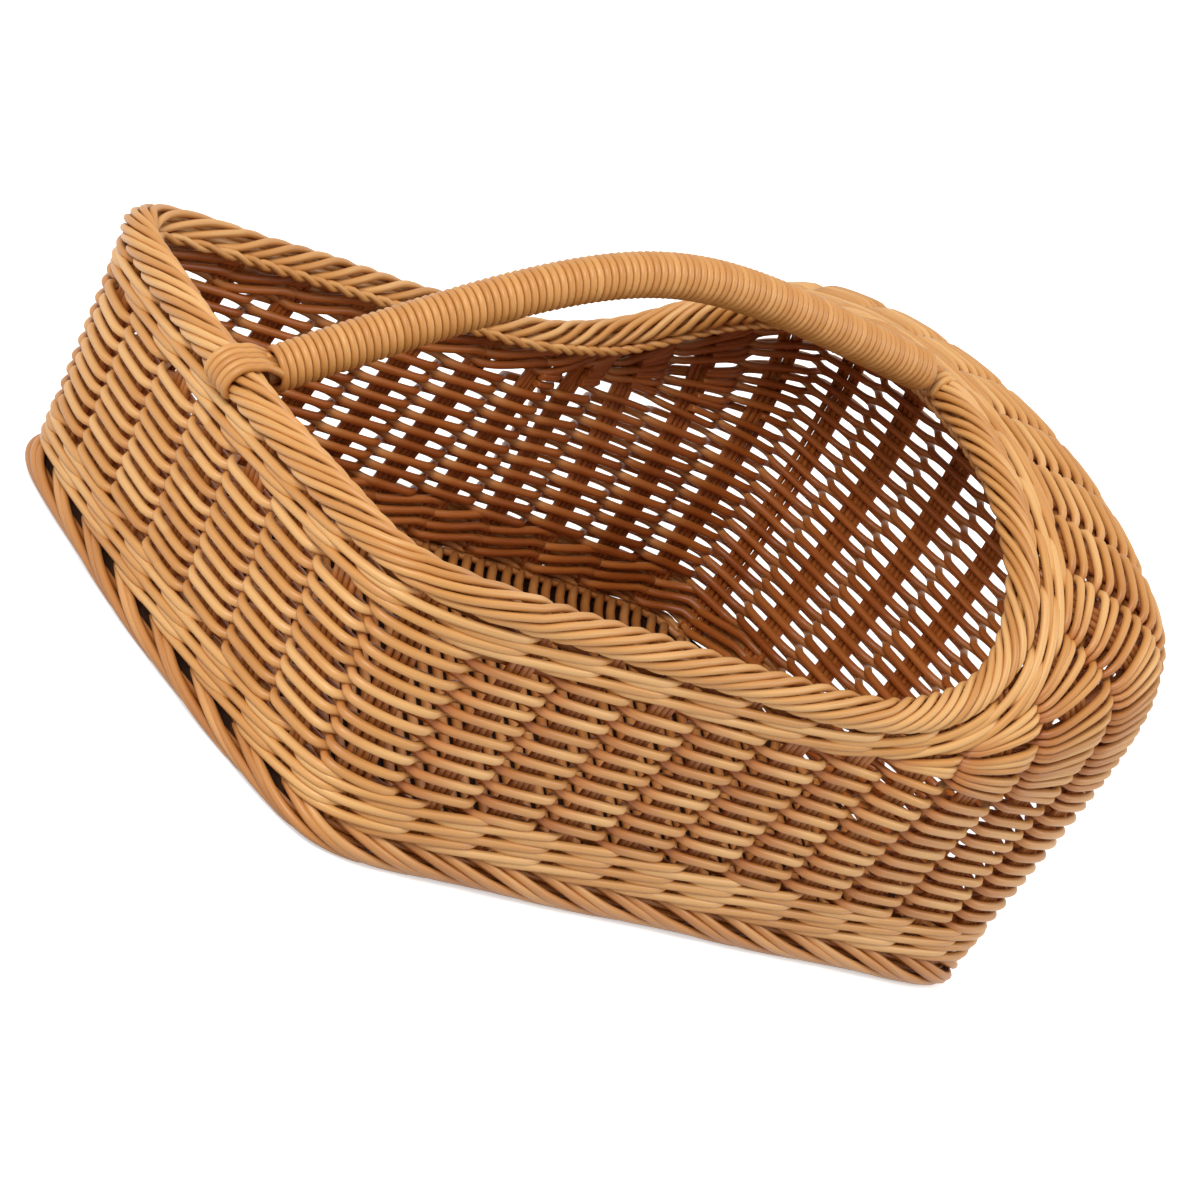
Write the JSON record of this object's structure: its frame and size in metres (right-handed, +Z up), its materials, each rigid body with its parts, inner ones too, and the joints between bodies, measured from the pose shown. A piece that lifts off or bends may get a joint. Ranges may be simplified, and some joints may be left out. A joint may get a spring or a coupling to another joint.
{
  "type": "slipper basket",
  "caption": "Slipper-shaped storage basket woven from round synthetic rattan, open at the heel, hooded over the toe, with a wrapped carrying handle from heel rim to hood.",
  "frame": {"origin": "underside of the base board, under the middle of the base", "axes": "+X from the heel to the hooded toe, +Y across the basket, +Z up"},
  "size_m": [0.4885, 0.33, 0.2494],
  "materials": {
    "rattan": "round synthetic rattan strand, satin gloss, golden tan",
    "board": "dark flat board, matt"
  },
  "bodies": {
    "root": {"base_board": "board", "floor_mat": "rattan", "foot_border": "rattan", "stake_01": "rattan", "stake_02": "rattan", "stake_03": "rattan", "stake_04": "rattan", "stake_05": "rattan", "stake_06": "rattan", "stake_07": "rattan", "stake_08": "rattan", "stake_09": "rattan", "stake_10": "rattan", "stake_11": "rattan", "stake_12": "rattan", "stake_13": "rattan", "stake_14": "rattan", "stake_15": "rattan", "stake_16": "rattan", "stake_17": "rattan", "stake_18": "rattan", "stake_19": "rattan", "stake_20": "rattan", "stake_21": "rattan", "stake_22": "rattan", "stake_23": "rattan", "stake_24": "rattan", "stake_25": "rattan", "stake_26": "rattan", "stake_27": "rattan", "stake_28": "rattan", "stake_29": "rattan", "stake_30": "rattan", "stake_31": "rattan", "stake_32": "rattan", "stake_33": "rattan", "stake_34": "rattan", "stake_35": "rattan", "stake_36": "rattan", "bottom_wale": "rattan", "siding_band_1": "rattan", "siding_band_2": "rattan", "siding_band_3": "rattan", "siding_band_4": "rattan", "siding_band_5": "rattan", "hood_band_1": "rattan", "hood_band_2": "rattan", "hood_band_3": "rattan", "hood_band_4": "rattan", "top_wale": "rattan", "rim_border": "rattan", "rim_braid": "rattan", "heel_lashing": "rattan", "hood_lashing": "rattan", "handle_core": "rattan", "handle_wrap": "rattan"}
  },
  "joints": []
}
